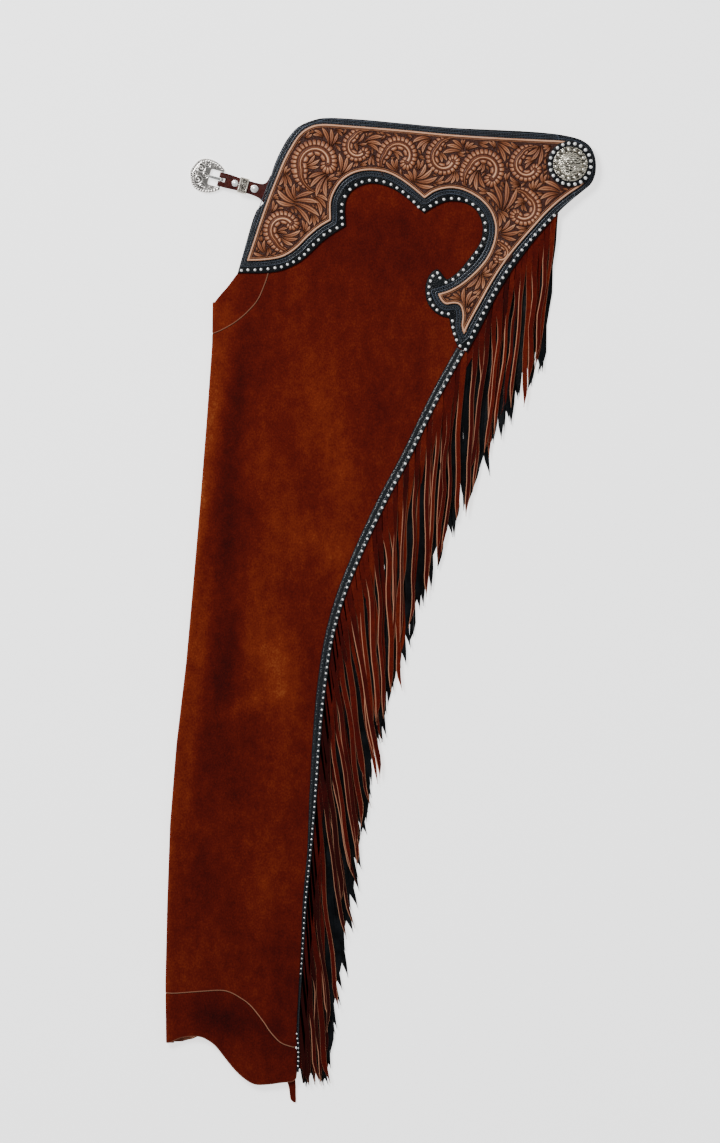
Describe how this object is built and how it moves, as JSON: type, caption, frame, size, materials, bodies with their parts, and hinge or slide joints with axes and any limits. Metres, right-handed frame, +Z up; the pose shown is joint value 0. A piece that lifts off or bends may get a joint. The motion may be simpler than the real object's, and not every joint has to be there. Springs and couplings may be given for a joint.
{
  "type": "western show chaps, folded flat",
  "caption": "Leather show chaps folded flat: suede leg with shaped hem, scalloped tooled yoke, studded outer seam with two-layer fringe, belt strap with buckle, and a concho.",
  "frame": {"origin": "middle of the footprint, on the surface the folded chaps lie on", "axes": "+X from the front fold to the fringed outer seam, +Y from hem to waist, +Z up from the surface"},
  "size_m": [0.4738, 1.0837, 0.0196],
  "materials": {
    "suede": "napped rust-brown suede",
    "suede_inside": "rust-brown suede, layered raw edges",
    "suede_fringe": "cut suede with pale raw edges",
    "black_leather": "grained black leather, semi-gloss",
    "black_fringe": "cut black leather",
    "tooled_leather": "carved and antiqued brown leather",
    "strap_leather": "dark brown strap leather",
    "silver": "engraved bright silver plate, darkened in the cuts"
  },
  "bodies": {
    "root": {"hidden_layers": "suede_inside", "leg_panel": "suede", "thigh_piece": "suede", "hem_piece": "suede", "yoke_base": "black_leather", "yoke_tooled": "tooled_leather", "seam_welt": "black_leather", "fringe_brown": "suede_fringe", "fringe_black": "black_fringe", "front_strap": "strap_leather", "strap_keeper": "silver", "snap_front": "silver", "snap_back": "silver", "concho_rosette": "black_leather", "concho": "silver", "hem_thong": "suede"},
    "buckle": {"buckle_frame": "silver"},
    "tongue": {"buckle_tongue": "silver"}
  },
  "joints": [
    {"name": "buckle_swing", "type": "hinge", "parent": "root", "child": "buckle", "pos_m": [-0.17565, 0.474, 0.0033], "axis": [0.2622, 0.965, 0], "range_deg": [0, 45]},
    {"name": "tongue_swing", "type": "hinge", "parent": "buckle", "child": "tongue", "pos_m": [-0.17565, 0.474, 0.0033], "axis": [0.2622, 0.965, 0], "range_deg": [0, 70]}
  ]
}
